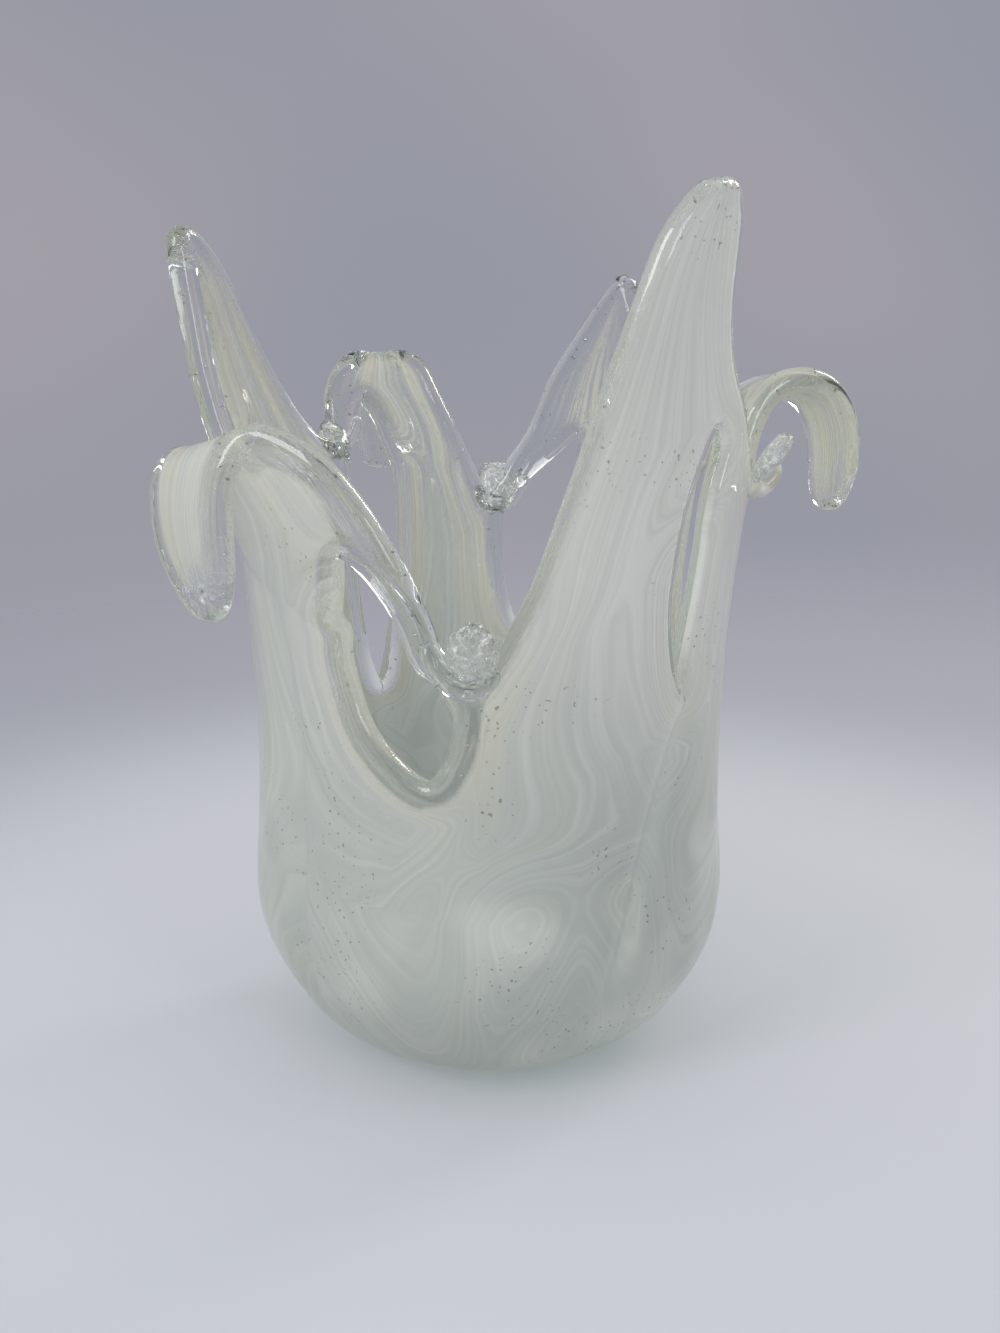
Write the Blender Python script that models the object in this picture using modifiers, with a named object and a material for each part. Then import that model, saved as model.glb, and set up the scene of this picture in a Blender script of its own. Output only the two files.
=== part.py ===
# Pulled-rim art glass vase, one blown piece. Metres, +Z up, the front is -Y.
# The glass is a smooth sheet that Solidify thickens to both sides. The cup runs
# from a flat base to a belt. Above the belt the rim is six petals: three spikes and three
# hooks that bend outwards and down. Each petal is pierced by one almond-shaped hole, and the
# strap beside the hole ends in a small knob on the next petal's edge.

import bmesh
import bpy
import numpy as np
from mathutils import Matrix

MM = 0.001

# Driving dimensions in millimetres and degrees. Azimuth runs counter-clockwise from +X. HEIGHT
# is the height of the tallest tip, and REACH the distance of the farthest hook from the axis.
HEIGHT = 278.5
REACH = 114.5
WALL = 6.2
LIP = 8.2
FOOT = 8.5
BELT = 66.0
BASE_RADIUS = 34.0
BASE_STEP = 0.7
WALL_PROFILE = [(4.9, 36.0), (8.0, 45.0), (17.5, 57.5), (36.0, 68.0), (66.0, 70.2),
                (100.0, 70.0), (140.0, 71.8), (180.0, 76.3), (220.0, 81.5)]
FOOT_RADII = [22.0, 36.0]
FOOT_HEIGHTS = [8.0, 17.5, 36.0]
LOBE_DEPTH = 2.6
LOBE_FRONT = 266.0
LOBE_HEIGHT = 52.0
LOBE_SPREAD = 58.0
BORDER_ROWS = [-1.0, -0.8, -0.6, -0.4, -0.2, 0.0]
KNOB_SIZE = (9.0, 17.0, 24.0)
KNOB_TURN = -1.5
KNOB_OUT = 4.0
KNOB_UP = 8.5
KNOB_LEAN = 25.0

# The tables (wall profile, foot, rails) are drawn for a vase 278.5 mm tall that reaches
# 114.5 mm from its axis. They are stretched to HEIGHT and REACH by these two ratios.
HEIGHT_SCALE = HEIGHT / 278.5
RADIUS_SCALE = REACH / 114.5

# One entry per petal, counter-clockwise. A rail row is (height along the petal from 0 at the
# junction to 1 at the tip, azimuth, radius, height). A hole row is (the same height, where
# minus means below the junction, left side, right side), the sides as shares of the width.
PETALS = [
    dict(
        name="hook_front", columns=7, split=5, rows=[0.13, 0.26, 0.38, 0.49, 0.62, 0.76, 0.9, 1.0],
        slit=(2, 7), bow=1.0,
        left=[(0, 185, 75, 167), (0.15, 187.5, 81, 179), (0.3, 191.5, 89.5, 191),
              (0.42, 195.5, 96.5, 197), (0.54, 199, 103, 193.5), (0.66, 201, 105, 183),
              (0.82, 202.5, 103.5, 168), (1, 205, 97.5, 153.5)],
        right=[(0, 268, 71, 137), (0.12, 256, 73, 162), (0.24, 245.5, 77, 185),
               (0.35, 234.8, 80.5, 202.5), (0.45, 225.5, 84, 209.5), (0.55, 221, 89, 209),
               (0.66, 220, 94.5, 199.5), (0.8, 220, 96.5, 183), (0.9, 219.5, 95.5, 168),
               (1, 217, 94.5, 152.5)],
        hole=[(-0.53, 0.855, 0.855), (-0.424, 0.76, 0.936), (-0.313, 0.69, 0.955),
              (-0.164, 0.645, 0.965), (0, 0.618, 0.935), (0.05, 0.65, 0.915),
              (0.12, 0.70, 0.86), (0.17, 0.74, 0.82), (0.2, 0.773, 0.773)],
    ),
    dict(
        name="spike_front", columns=7, split=4, rows=[0.13, 0.26, 0.39, 0.54, 0.7, 0.86, 1.0],
        slit=(3, 8), bow=1.0,
        left=[(0, 268, 71, 137), (0.15, 277.5, 73, 158), (0.3, 283.8, 75, 180),
              (0.45, 289, 77.5, 201.5), (0.6, 293.8, 80, 223.5), (0.75, 298.8, 82.5, 244.5),
              (0.9, 305, 84.5, 266), (1, 312, 85, 278)],
        right=[(0, 350, 78.5, 186), (0.15, 344, 79, 197), (0.3, 338, 79.5, 210),
               (0.45, 332.5, 79, 222.5), (0.6, 329.5, 79, 236), (0.75, 327.3, 81, 250.5),
               (0.9, 326, 84, 268), (1, 324.5, 86, 278.5)],
        hole=[(-0.408, 0.652, 0.652), (-0.342, 0.60, 0.689), (-0.2, 0.592, 0.712),
              (-0.05, 0.588, 0.73), (0.05, 0.592, 0.75), (0.12, 0.60, 0.78),
              (0.2, 0.62, 0.875), (0.28, 0.67, 0.855), (0.345, 0.755, 0.755)],
    ),
    dict(
        name="hook_right", columns=5, split=3, rows=[0.13, 0.26, 0.38, 0.49, 0.62, 0.76, 0.9, 1.0],
        slit=(2, 7), bow=1.0,
        left=[(0, 350, 78.5, 186), (0.15, 352.5, 80, 199.5), (0.3, 356, 86, 212),
              (0.45, 358.5, 96.5, 217), (0.6, 360.5, 107.5, 213), (0.75, 361, 113.5, 201),
              (0.88, 362, 114.5, 187), (1, 363.5, 111.5, 172)],
        right=[(0, 394, 78, 181), (0.15, 389, 80.5, 194), (0.3, 383, 86, 205),
               (0.45, 378, 93.5, 210), (0.6, 374.5, 100.5, 208), (0.75, 372, 104.5, 199),
               (0.88, 371, 105.5, 186.5), (1, 369.5, 104, 171)],
        hole=[(-0.6, 0.75, 0.75), (-0.5, 0.68, 0.88), (-0.3, 0.6, 0.94), (-0.1, 0.56, 0.925),
              (0, 0.55, 0.90), (0.1, 0.54, 0.84), (0.2, 0.55, 0.74), (0.26, 0.63, 0.63)],
    ),
    dict(
        name="spike_right", columns=5, split=3, rows=[0.13, 0.26, 0.39, 0.54, 0.7, 0.86, 1.0],
        slit=(2, 7), bow=1.0,
        left=[(0, 34, 78, 181), (0.15, 36.5, 78, 190), (0.3, 39, 78, 199), (0.5, 43, 78, 212),
              (0.7, 47, 78, 224), (0.87, 50.5, 79, 235), (1, 52.5, 80, 242)],
        right=[(0, 90, 77, 162), (0.15, 86, 79, 173), (0.3, 81.1, 79, 183),
               (0.5, 75.8, 77.5, 199.5), (0.7, 69.5, 77, 214), (0.87, 61, 77.5, 231.5),
               (1, 56, 80, 242)],
        hole=[(-0.5, 0.786, 0.786), (-0.43, 0.70, 0.88), (-0.25, 0.62, 0.93), (-0.1, 0.6, 0.935),
              (0, 0.6, 0.91), (0.1, 0.605, 0.84), (0.2, 0.62, 0.76), (0.27, 0.67, 0.67)],
    ),
    dict(
        name="hook_back", columns=4, split=2, rows=[0.13, 0.26, 0.4, 0.53, 0.66, 0.78, 0.9, 1.0],
        slit=(1, 8), bow=1.0,
        left=[(0, 90, 77, 162), (0.15, 94.5, 78, 174.5), (0.3, 99, 81, 189),
              (0.42, 102, 86, 199.5), (0.53, 103.8, 92.5, 207), (0.64, 106.5, 100, 209),
              (0.75, 107, 107, 203.5), (0.87, 107, 109, 189), (1, 107.5, 107, 169)],
        right=[(0, 132.5, 79, 184), (0.15, 131, 84.5, 189), (0.3, 129.5, 89, 195.5),
               (0.42, 127.5, 93, 202), (0.53, 123.5, 97, 208), (0.64, 119.5, 101.5, 209.5),
               (0.75, 117, 106.5, 204), (0.87, 116.2, 108.5, 190), (1, 115.8, 107, 170.5)],
        hole=[(-0.683, 0.81, 0.81), (-0.58, 0.72, 0.90), (-0.41, 0.65, 0.945),
              (-0.223, 0.61, 0.94), (0, 0.60, 0.90), (0.15, 0.597, 0.88), (0.3, 0.60, 0.86),
              (0.4, 0.71, 0.71)],
    ),
    dict(
        name="spike_back", columns=4, split=2, rows=[0.13, 0.26, 0.4, 0.55, 0.7, 0.86, 1.0],
        slit=(2, 11), bow=0.5,
        left=[(0, 132.5, 79, 184), (0.15, 138.5, 82.5, 191.5), (0.35, 146, 88, 211),
              (0.55, 152, 91, 228.5), (0.75, 158.5, 93, 245.5), (0.9, 165, 95.5, 256.5),
              (1, 169.5, 98, 261)],
        right=[(0, 185, 75, 167), (0.15, 182, 80, 184), (0.3, 180.2, 85, 198),
               (0.45, 178.5, 90, 214.5), (0.65, 176.5, 94, 232.5), (0.85, 174.5, 97.5, 248.5),
               (1, 173, 99.5, 260)],
        hole=[(-0.5, 0.82, 0.82), (-0.42, 0.73, 0.90), (-0.25, 0.66, 0.93), (0, 0.62, 0.89),
              (0.2, 0.60, 0.83), (0.4, 0.59, 0.78), (0.6, 0.56, 0.73), (0.75, 0.54, 0.69),
              (0.87, 0.62, 0.62)],
    ),
]


def spline(t, stations):
    """Natural cubic spline through rows of (t, values...)."""
    table = np.asarray(stations, float)
    knots, values = table[:, 0], table[:, 1:]
    steps = np.diff(knots)
    count = len(knots)
    system, target = np.eye(count), np.zeros_like(values)
    for i in range(1, count - 1):
        system[i, i - 1:i + 2] = steps[i - 1], 2 * (steps[i - 1] + steps[i]), steps[i]
        target[i] = 3 * ((values[i + 1] - values[i]) / steps[i]
                         - (values[i] - values[i - 1]) / steps[i - 1])
    second = np.linalg.solve(system, target)
    t = np.atleast_1d(np.asarray(t, float))
    i = np.clip(np.searchsorted(knots, t, side="right") - 1, 0, count - 2)
    h = steps[i][:, None]
    slope = (values[i + 1] - values[i]) / h - h * (2 * second[i] + second[i + 1]) / 3
    third = (second[i + 1] - second[i]) / (3 * h)
    x = (t - knots[i])[:, None]
    return values[i] + x * (slope + x * (second[i] + x * third))


def smooth(x):
    """Smooth step from 0 to 1."""
    x = np.clip(x, 0.0, 1.0)
    return x * x * (3.0 - 2.0 * x)


def drawn_up(length):
    """A real height in the units of the tables."""
    return length / HEIGHT_SCALE


def drawn_out(length):
    """A real radius in the units of the tables."""
    return length / RADIUS_SCALE


def wall_radius(azimuth, height):
    """Radius of the cup: the profile plus four soft lobes, strongest low down."""
    fine = np.linspace(WALL_PROFILE[0][0], 220.0, 441)
    radius = np.interp(height, fine, spline(fine, WALL_PROFILE)[:, 0])
    rise = (height - drawn_up(LOBE_HEIGHT)) / drawn_up(LOBE_SPREAD)
    swell = drawn_out(LOBE_DEPTH) * np.exp(-rise ** 2) * smooth((height - 1.0) / 14.0)
    return radius + swell * np.cos(np.radians(4.0 * (azimuth - LOBE_FRONT)))


def cartesian(azimuth, radius, height):
    """Cylinder coordinates in degrees and millimetres to metres."""
    angle = np.radians(azimuth)
    return np.stack([RADIUS_SCALE * radius * np.cos(angle) * MM,
                     RADIUS_SCALE * radius * np.sin(angle) * MM,
                     HEIGHT_SCALE * height * MM], axis=-1)


def petal_points(petal, along, across):
    """Mid-surface of one petal. Below the junction the points lie on the cup wall. Above it they
    lie between the left and right rails, bowed outwards across the width."""
    left = spline(np.clip(along, 0.0, 1.0), petal["left"])
    right = spline(np.clip(along, 0.0, 1.0), petal["right"])
    mixed = left + (right - left) * across[:, None]
    azimuth, radius, height = mixed.T
    below = along < 0.0
    belt = drawn_up(BELT)
    wall_height = belt + (height - belt) * (1.0 + along)
    settle = smooth(1.0 + along)
    wall = wall_radius(azimuth, wall_height) + settle * (radius - wall_radius(azimuth, height))
    bow = petal["bow"] * smooth(along / 0.3) * (1.0 - (2.0 * across - 1.0) ** 2)
    return cartesian(azimuth, np.where(below, wall, radius + bow),
                     np.where(below, wall_height, height))


def petal_grid(petal):
    """Cage of one petal: rows of points, with two points where a row crosses the hole. Gives
    the points, the faces and how much each point belongs to a thick lip."""
    border = np.array(BORDER_ROWS + petal["rows"])
    first, last = petal["slit"]
    columns, split = petal["columns"], petal["split"]
    hole = np.asarray(petal["hole"], float)
    slit = np.interp(border, [-1.0, border[first], border[last], 1.0],
                     [-1.0, hole[0, 0], hole[-1, 0], 1.0])
    turn = np.linspace(0.0, np.pi, last - first + 1)
    even = hole[0, 0] + (hole[-1, 0] - hole[0, 0]) * 0.5 * (1.0 - np.cos(turn))
    slit[first:last + 1] = 0.5 * slit[first:last + 1] + 0.5 * even
    plain = split / columns
    points, lips, index = [], [], {}
    for i, edge in enumerate(border):
        opened = first < i < last
        sides = [np.interp(slit[i], hole[:, 0], hole[:, 1]),
                 np.interp(slit[i], hole[:, 0], hole[:, 2])]
        if i <= first:
            mix = smooth((slit[i] + 1.0) / (hole[0, 0] + 1.0))
            sides = [plain + (hole[0, 1] - plain) * mix] * 2
        elif i >= last:
            mix = smooth((slit[i] - hole[-1, 0]) / (1.0 - hole[-1, 0]))
            sides = [hole[-1, 1] + (plain - hole[-1, 1]) * mix] * 2
        for side in (0, 1):
            steps = split if side == 0 else columns - split
            share = np.linspace(0.0, 1.0, steps + 1)
            if side == 0:
                across, near = sides[0] * share, share
            else:
                across, near = sides[1] + (1.0 - sides[1]) * share, 1.0 - share
            along = edge + (slit[i] - edge) * near
            if i == len(border) - 1:
                across = 0.5 + (across - 0.5) * 0.72
            placed = petal_points(petal, along, across)
            for j, point in enumerate(placed):
                column = j if side == 0 else split + j
                double = column == split and opened
                if column == split and side == 1 and not double:
                    continue
                index[i, column, side if double else 0] = len(points)
                on_edge = i >= 5 and column in (0, columns)
                on_hole = column == split and first <= i <= last
                lips.append(1.0 if on_edge or on_hole or i == len(border) - 1 else 0.0)
                points.append(point)
    faces = []
    for i in range(len(border) - 1):
        for column in range(columns):
            side = 1 if column >= split else 0
            corners = []
            for row, step in ((i, 0), (i, 1), (i + 1, 1), (i + 1, 0)):
                where = (row, column + step, side)
                corners.append(index.get(where, index.get((row, column + step, 0))))
            faces.append(corners)
    return points, faces, lips


def build_cage():
    """The whole mid-surface as one mesh: foot rings, then the six petals, joined at the belt."""
    points, faces, lips = [], [], []
    for petal in PETALS:
        start = len(points)
        new_points, new_faces, new_lips = petal_grid(petal)
        points += new_points
        faces += [[start + corner for corner in face] for face in new_faces]
        lips += new_lips
    azimuths = []
    for petal in PETALS:
        share = np.arange(petal["columns"]) / petal["columns"]
        azimuths += list(petal["left"][0][1] + share * (petal["right"][0][1] - petal["left"][0][1]))
    azimuths = np.array(azimuths)
    count = len(azimuths)
    start = len(points)
    floor = drawn_up(BASE_STEP - 0.05 + 0.5 * FOOT)
    rings = [(floor, np.full(count, radius)) for radius in FOOT_RADII]
    for height in FOOT_HEIGHTS + [drawn_up(BELT)]:
        rings.append((height, wall_radius(azimuths, np.full(count, height))))
    for height, radii in rings:
        points += list(cartesian(azimuths, radii, np.full(count, height)))
        lips += [0.0] * count
    for ring in range(len(rings) - 1):
        for j in range(count):
            a, b = start + ring * count + j, start + ring * count + (j + 1) % count
            faces.append([a, b, b + count, a + count])
    faces.append([start + j for j in reversed(range(count))])
    return points, faces, lips


def clear_scene():
    """Removes what the startup file holds."""
    for obj in list(bpy.data.objects):
        bpy.data.objects.remove(obj, do_unlink=True)


def glass_material():
    """Milky white glass."""
    material = bpy.data.materials.new("milky_glass")
    material.use_nodes = True
    shader = material.node_tree.nodes["Principled BSDF"]
    shader.inputs["Base Color"].default_value = (0.62, 0.67, 0.63, 1.0)
    shader.inputs["Roughness"].default_value = 0.08
    shader.inputs["Metallic"].default_value = 0.0
    return material


def make_sheet(collection):
    """The glass without knobs: cage, Solidify inwards, one Subdivision level."""
    points, faces, lips = build_cage()
    mesh = bpy.data.meshes.new("vase")
    mesh.from_pydata([tuple(point) for point in points], [], faces)
    vase = bpy.data.objects.new("vase", mesh)
    collection.objects.link(vase)
    work = bmesh.new()
    work.from_mesh(mesh)
    layer = work.verts.layers.float.new("lip")
    for vertex, lip in zip(work.verts, lips):
        vertex[layer] = lip
    bmesh.ops.remove_doubles(work, verts=work.verts, dist=0.00002)
    bmesh.ops.recalc_face_normals(work, faces=work.faces)
    lips = [vertex[layer] for vertex in work.verts]
    heights = [vertex.co.z / MM for vertex in work.verts]
    work.to_mesh(mesh)
    work.free()
    group = vase.vertex_groups.new(name="thickness")
    thickest = 1.01 * max(WALL, LIP, FOOT)
    for i, (lip, height) in enumerate(zip(lips, heights)):
        foot = FOOT + (WALL - FOOT) * float(smooth(drawn_up(height) / 40.0))
        group.add([i], max(foot, WALL + (LIP - WALL) * lip) / thickest, "REPLACE")
    solidify = vase.modifiers.new("Thickness", "SOLIDIFY")
    solidify.thickness = thickest * MM
    solidify.offset = 0.0
    solidify.vertex_group = "thickness"
    solidify.use_even_offset = False
    subsurf = vase.modifiers.new("Smooth", "SUBSURF")
    subsurf.levels = 1
    subsurf.render_levels = 1
    return vase


def join(vase, helper, helpers):
    """Adds one helper shape to the vase by a Boolean union and keeps the helper out of renders."""
    for other in list(helper.users_collection):
        other.objects.unlink(helper)
    helpers.objects.link(helper)
    helper.hide_render = True
    helper.display_type = "WIRE"
    union = vase.modifiers.new("Join " + helper.name, "BOOLEAN")
    union.operation = "UNION"
    union.solver = "EXACT"
    union.object = helper


def add_base(vase, helpers):
    """The ground flat ring under the foot, a low disc from the table up into the glass."""
    depth = BASE_STEP + 0.3 * FOOT
    bpy.ops.mesh.primitive_cylinder_add(vertices=32, radius=BASE_RADIUS * MM,
                                        depth=depth * MM, location=(0, 0, 0.5 * depth * MM))
    base = bpy.context.object
    base.name = "ground_base"
    join(vase, base, helpers)


def add_knobs(vase, helpers):
    """One flattened ball at each junction, standing on the edge and leaning outwards, joined."""
    for petal in PETALS:
        azimuth, radius, height = petal["right"][0][1:]
        bpy.ops.mesh.primitive_uv_sphere_add(segments=12, ring_count=7, radius=0.5)
        knob = bpy.context.object
        knob.name = "knob_" + petal["name"]
        size = Matrix.Diagonal([side * MM for side in KNOB_SIZE] + [1.0])
        lean = Matrix.Rotation(np.radians(KNOB_LEAN), 4, "Y")
        turn = Matrix.Rotation(np.radians(azimuth), 4, "Z")
        centre = cartesian(azimuth + KNOB_TURN, radius + drawn_out(KNOB_OUT),
                           height + drawn_up(KNOB_UP))
        knob.data.transform(Matrix.Translation(centre) @ turn @ lean @ size)
        join(vase, knob, helpers)


def main():
    clear_scene()
    parts = bpy.data.collections.new("Art glass vase")
    helpers = bpy.data.collections.new("Helpers")
    bpy.context.scene.collection.children.link(parts)
    bpy.context.scene.collection.children.link(helpers)
    vase = make_sheet(parts)
    vase.data.materials.append(glass_material())
    add_base(vase, helpers)
    add_knobs(vase, helpers)
    for polygon in vase.data.polygons:
        polygon.use_smooth = True


main()
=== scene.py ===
import math

import bpy
import numpy as np
from mathutils import Matrix, Vector


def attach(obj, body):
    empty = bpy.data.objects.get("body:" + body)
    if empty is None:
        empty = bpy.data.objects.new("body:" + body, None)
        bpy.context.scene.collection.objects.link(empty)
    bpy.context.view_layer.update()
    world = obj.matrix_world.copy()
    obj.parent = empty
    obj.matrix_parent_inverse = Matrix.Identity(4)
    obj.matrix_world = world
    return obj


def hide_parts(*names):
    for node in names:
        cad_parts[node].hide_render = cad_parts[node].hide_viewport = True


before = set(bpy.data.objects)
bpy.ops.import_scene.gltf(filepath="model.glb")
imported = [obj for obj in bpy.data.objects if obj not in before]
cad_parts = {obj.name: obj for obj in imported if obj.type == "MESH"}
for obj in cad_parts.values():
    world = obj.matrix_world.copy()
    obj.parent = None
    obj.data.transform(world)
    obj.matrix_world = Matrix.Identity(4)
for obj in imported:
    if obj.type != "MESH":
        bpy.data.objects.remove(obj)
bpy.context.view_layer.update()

bl_info = {
    "name": "Pulled-rim glass vase",
    "version": (1, 0, 0),
    "blender": (4, 5, 0),
    "location": "3D View > Sidebar > Glass vase",
    "description": "Clear glass, the milk layer inside it, crackled knobs, air seeds and a studio",
    "category": "Object",
}

MM = 0.001

# Clear glass bends light by this much, and a ray leaves it unbent after so many bends.
GLASS_IOR = 1.48
MOST_BENDS = 5.5

# The camera in metres and degrees, and the photo's height, focal length and the shift of its
# middle in pixels.
CAMERA_REACH, CAMERA_AIM, CAMERA_TILT = 0.65, 0.14, 14.0
PHOTO_HEIGHT, FOCAL_LENGTH, SHIFT_X, SHIFT_Y = 1333.0, 2034.5, 11.0, -52.5
SENSOR = 36.0

# Radius in millimetres at which shares of a turn are counted as lengths.
MEAN_RADIUS = 72.0

# The cup and the six petals. The cup's numbers are those of the CAD source. The petals' began as
# the source's too, and were then drawn closer to the photo or freed of folded faces, so rails
# or holes of all petals but the right spike now differ from it. Azimuth in degrees runs
# counter-clockwise from +X, radius and height are in millimetres.
BELT = 66.0
WALL_PROFILE = [(4.9, 36.0), (8.0, 45.0), (17.5, 57.5), (36.0, 68.0), (66.0, 70.2),
                (100.0, 70.0), (140.0, 71.8), (180.0, 76.3), (220.0, 81.5)]
FOOT_PATH = [(0.0, 0.0, 4.9), (20.0, 20.0, 4.9), (36.0, 36.0, 5.0), (45.8, 45.0, 8.2),
             (61.4, 57.5, 17.5), (82.7, 68.0, 36.0), (112.8, 70.2, BELT)]
LOBE_DEPTH = 2.6
LOBE_FRONT = 266.0
LOBE_HEIGHT = 52.0
LOBE_SPREAD = 58.0
BORDER_ROWS = [-1.0, -0.8, -0.6, -0.4, -0.2, 0.0]
KNOB_TURN = -1.5
# Soft upright folds in the cup: azimuth low down, azimuth high up, depth. The spread is in
# degrees.
FOLD_SPREAD = 4.2
FOLDS = [(212.0, 215.0, 3.2), (303.0, 326.0, 3.0), (352.0, 358.0, 1.8), (62.0, 58.0, 1.8),
         (118.0, 122.0, 1.8), (162.0, 170.0, 1.8)]

# The nested arches low on the front: azimuth, half width in degrees and top height.
COMB = dict(azimuth=292.0, spread=26.0, top=92.0)

# The curl that a strap ends in, under the knob: sideways, outwards and up from the rail's
# root, and its radius.
CURL = [(-12, 2, 10, 1.8), (-11, 2.4, 6.5, 2.3), (-8.5, 2.4, 1.5, 2.6), (-5, 2.2, -1, 2.7),
        (-1, 2.2, -1, 2.6), (2.5, 1.8, 1.2, 2.0), (4.5, 1.3, 4.5, 0.9)]

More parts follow.
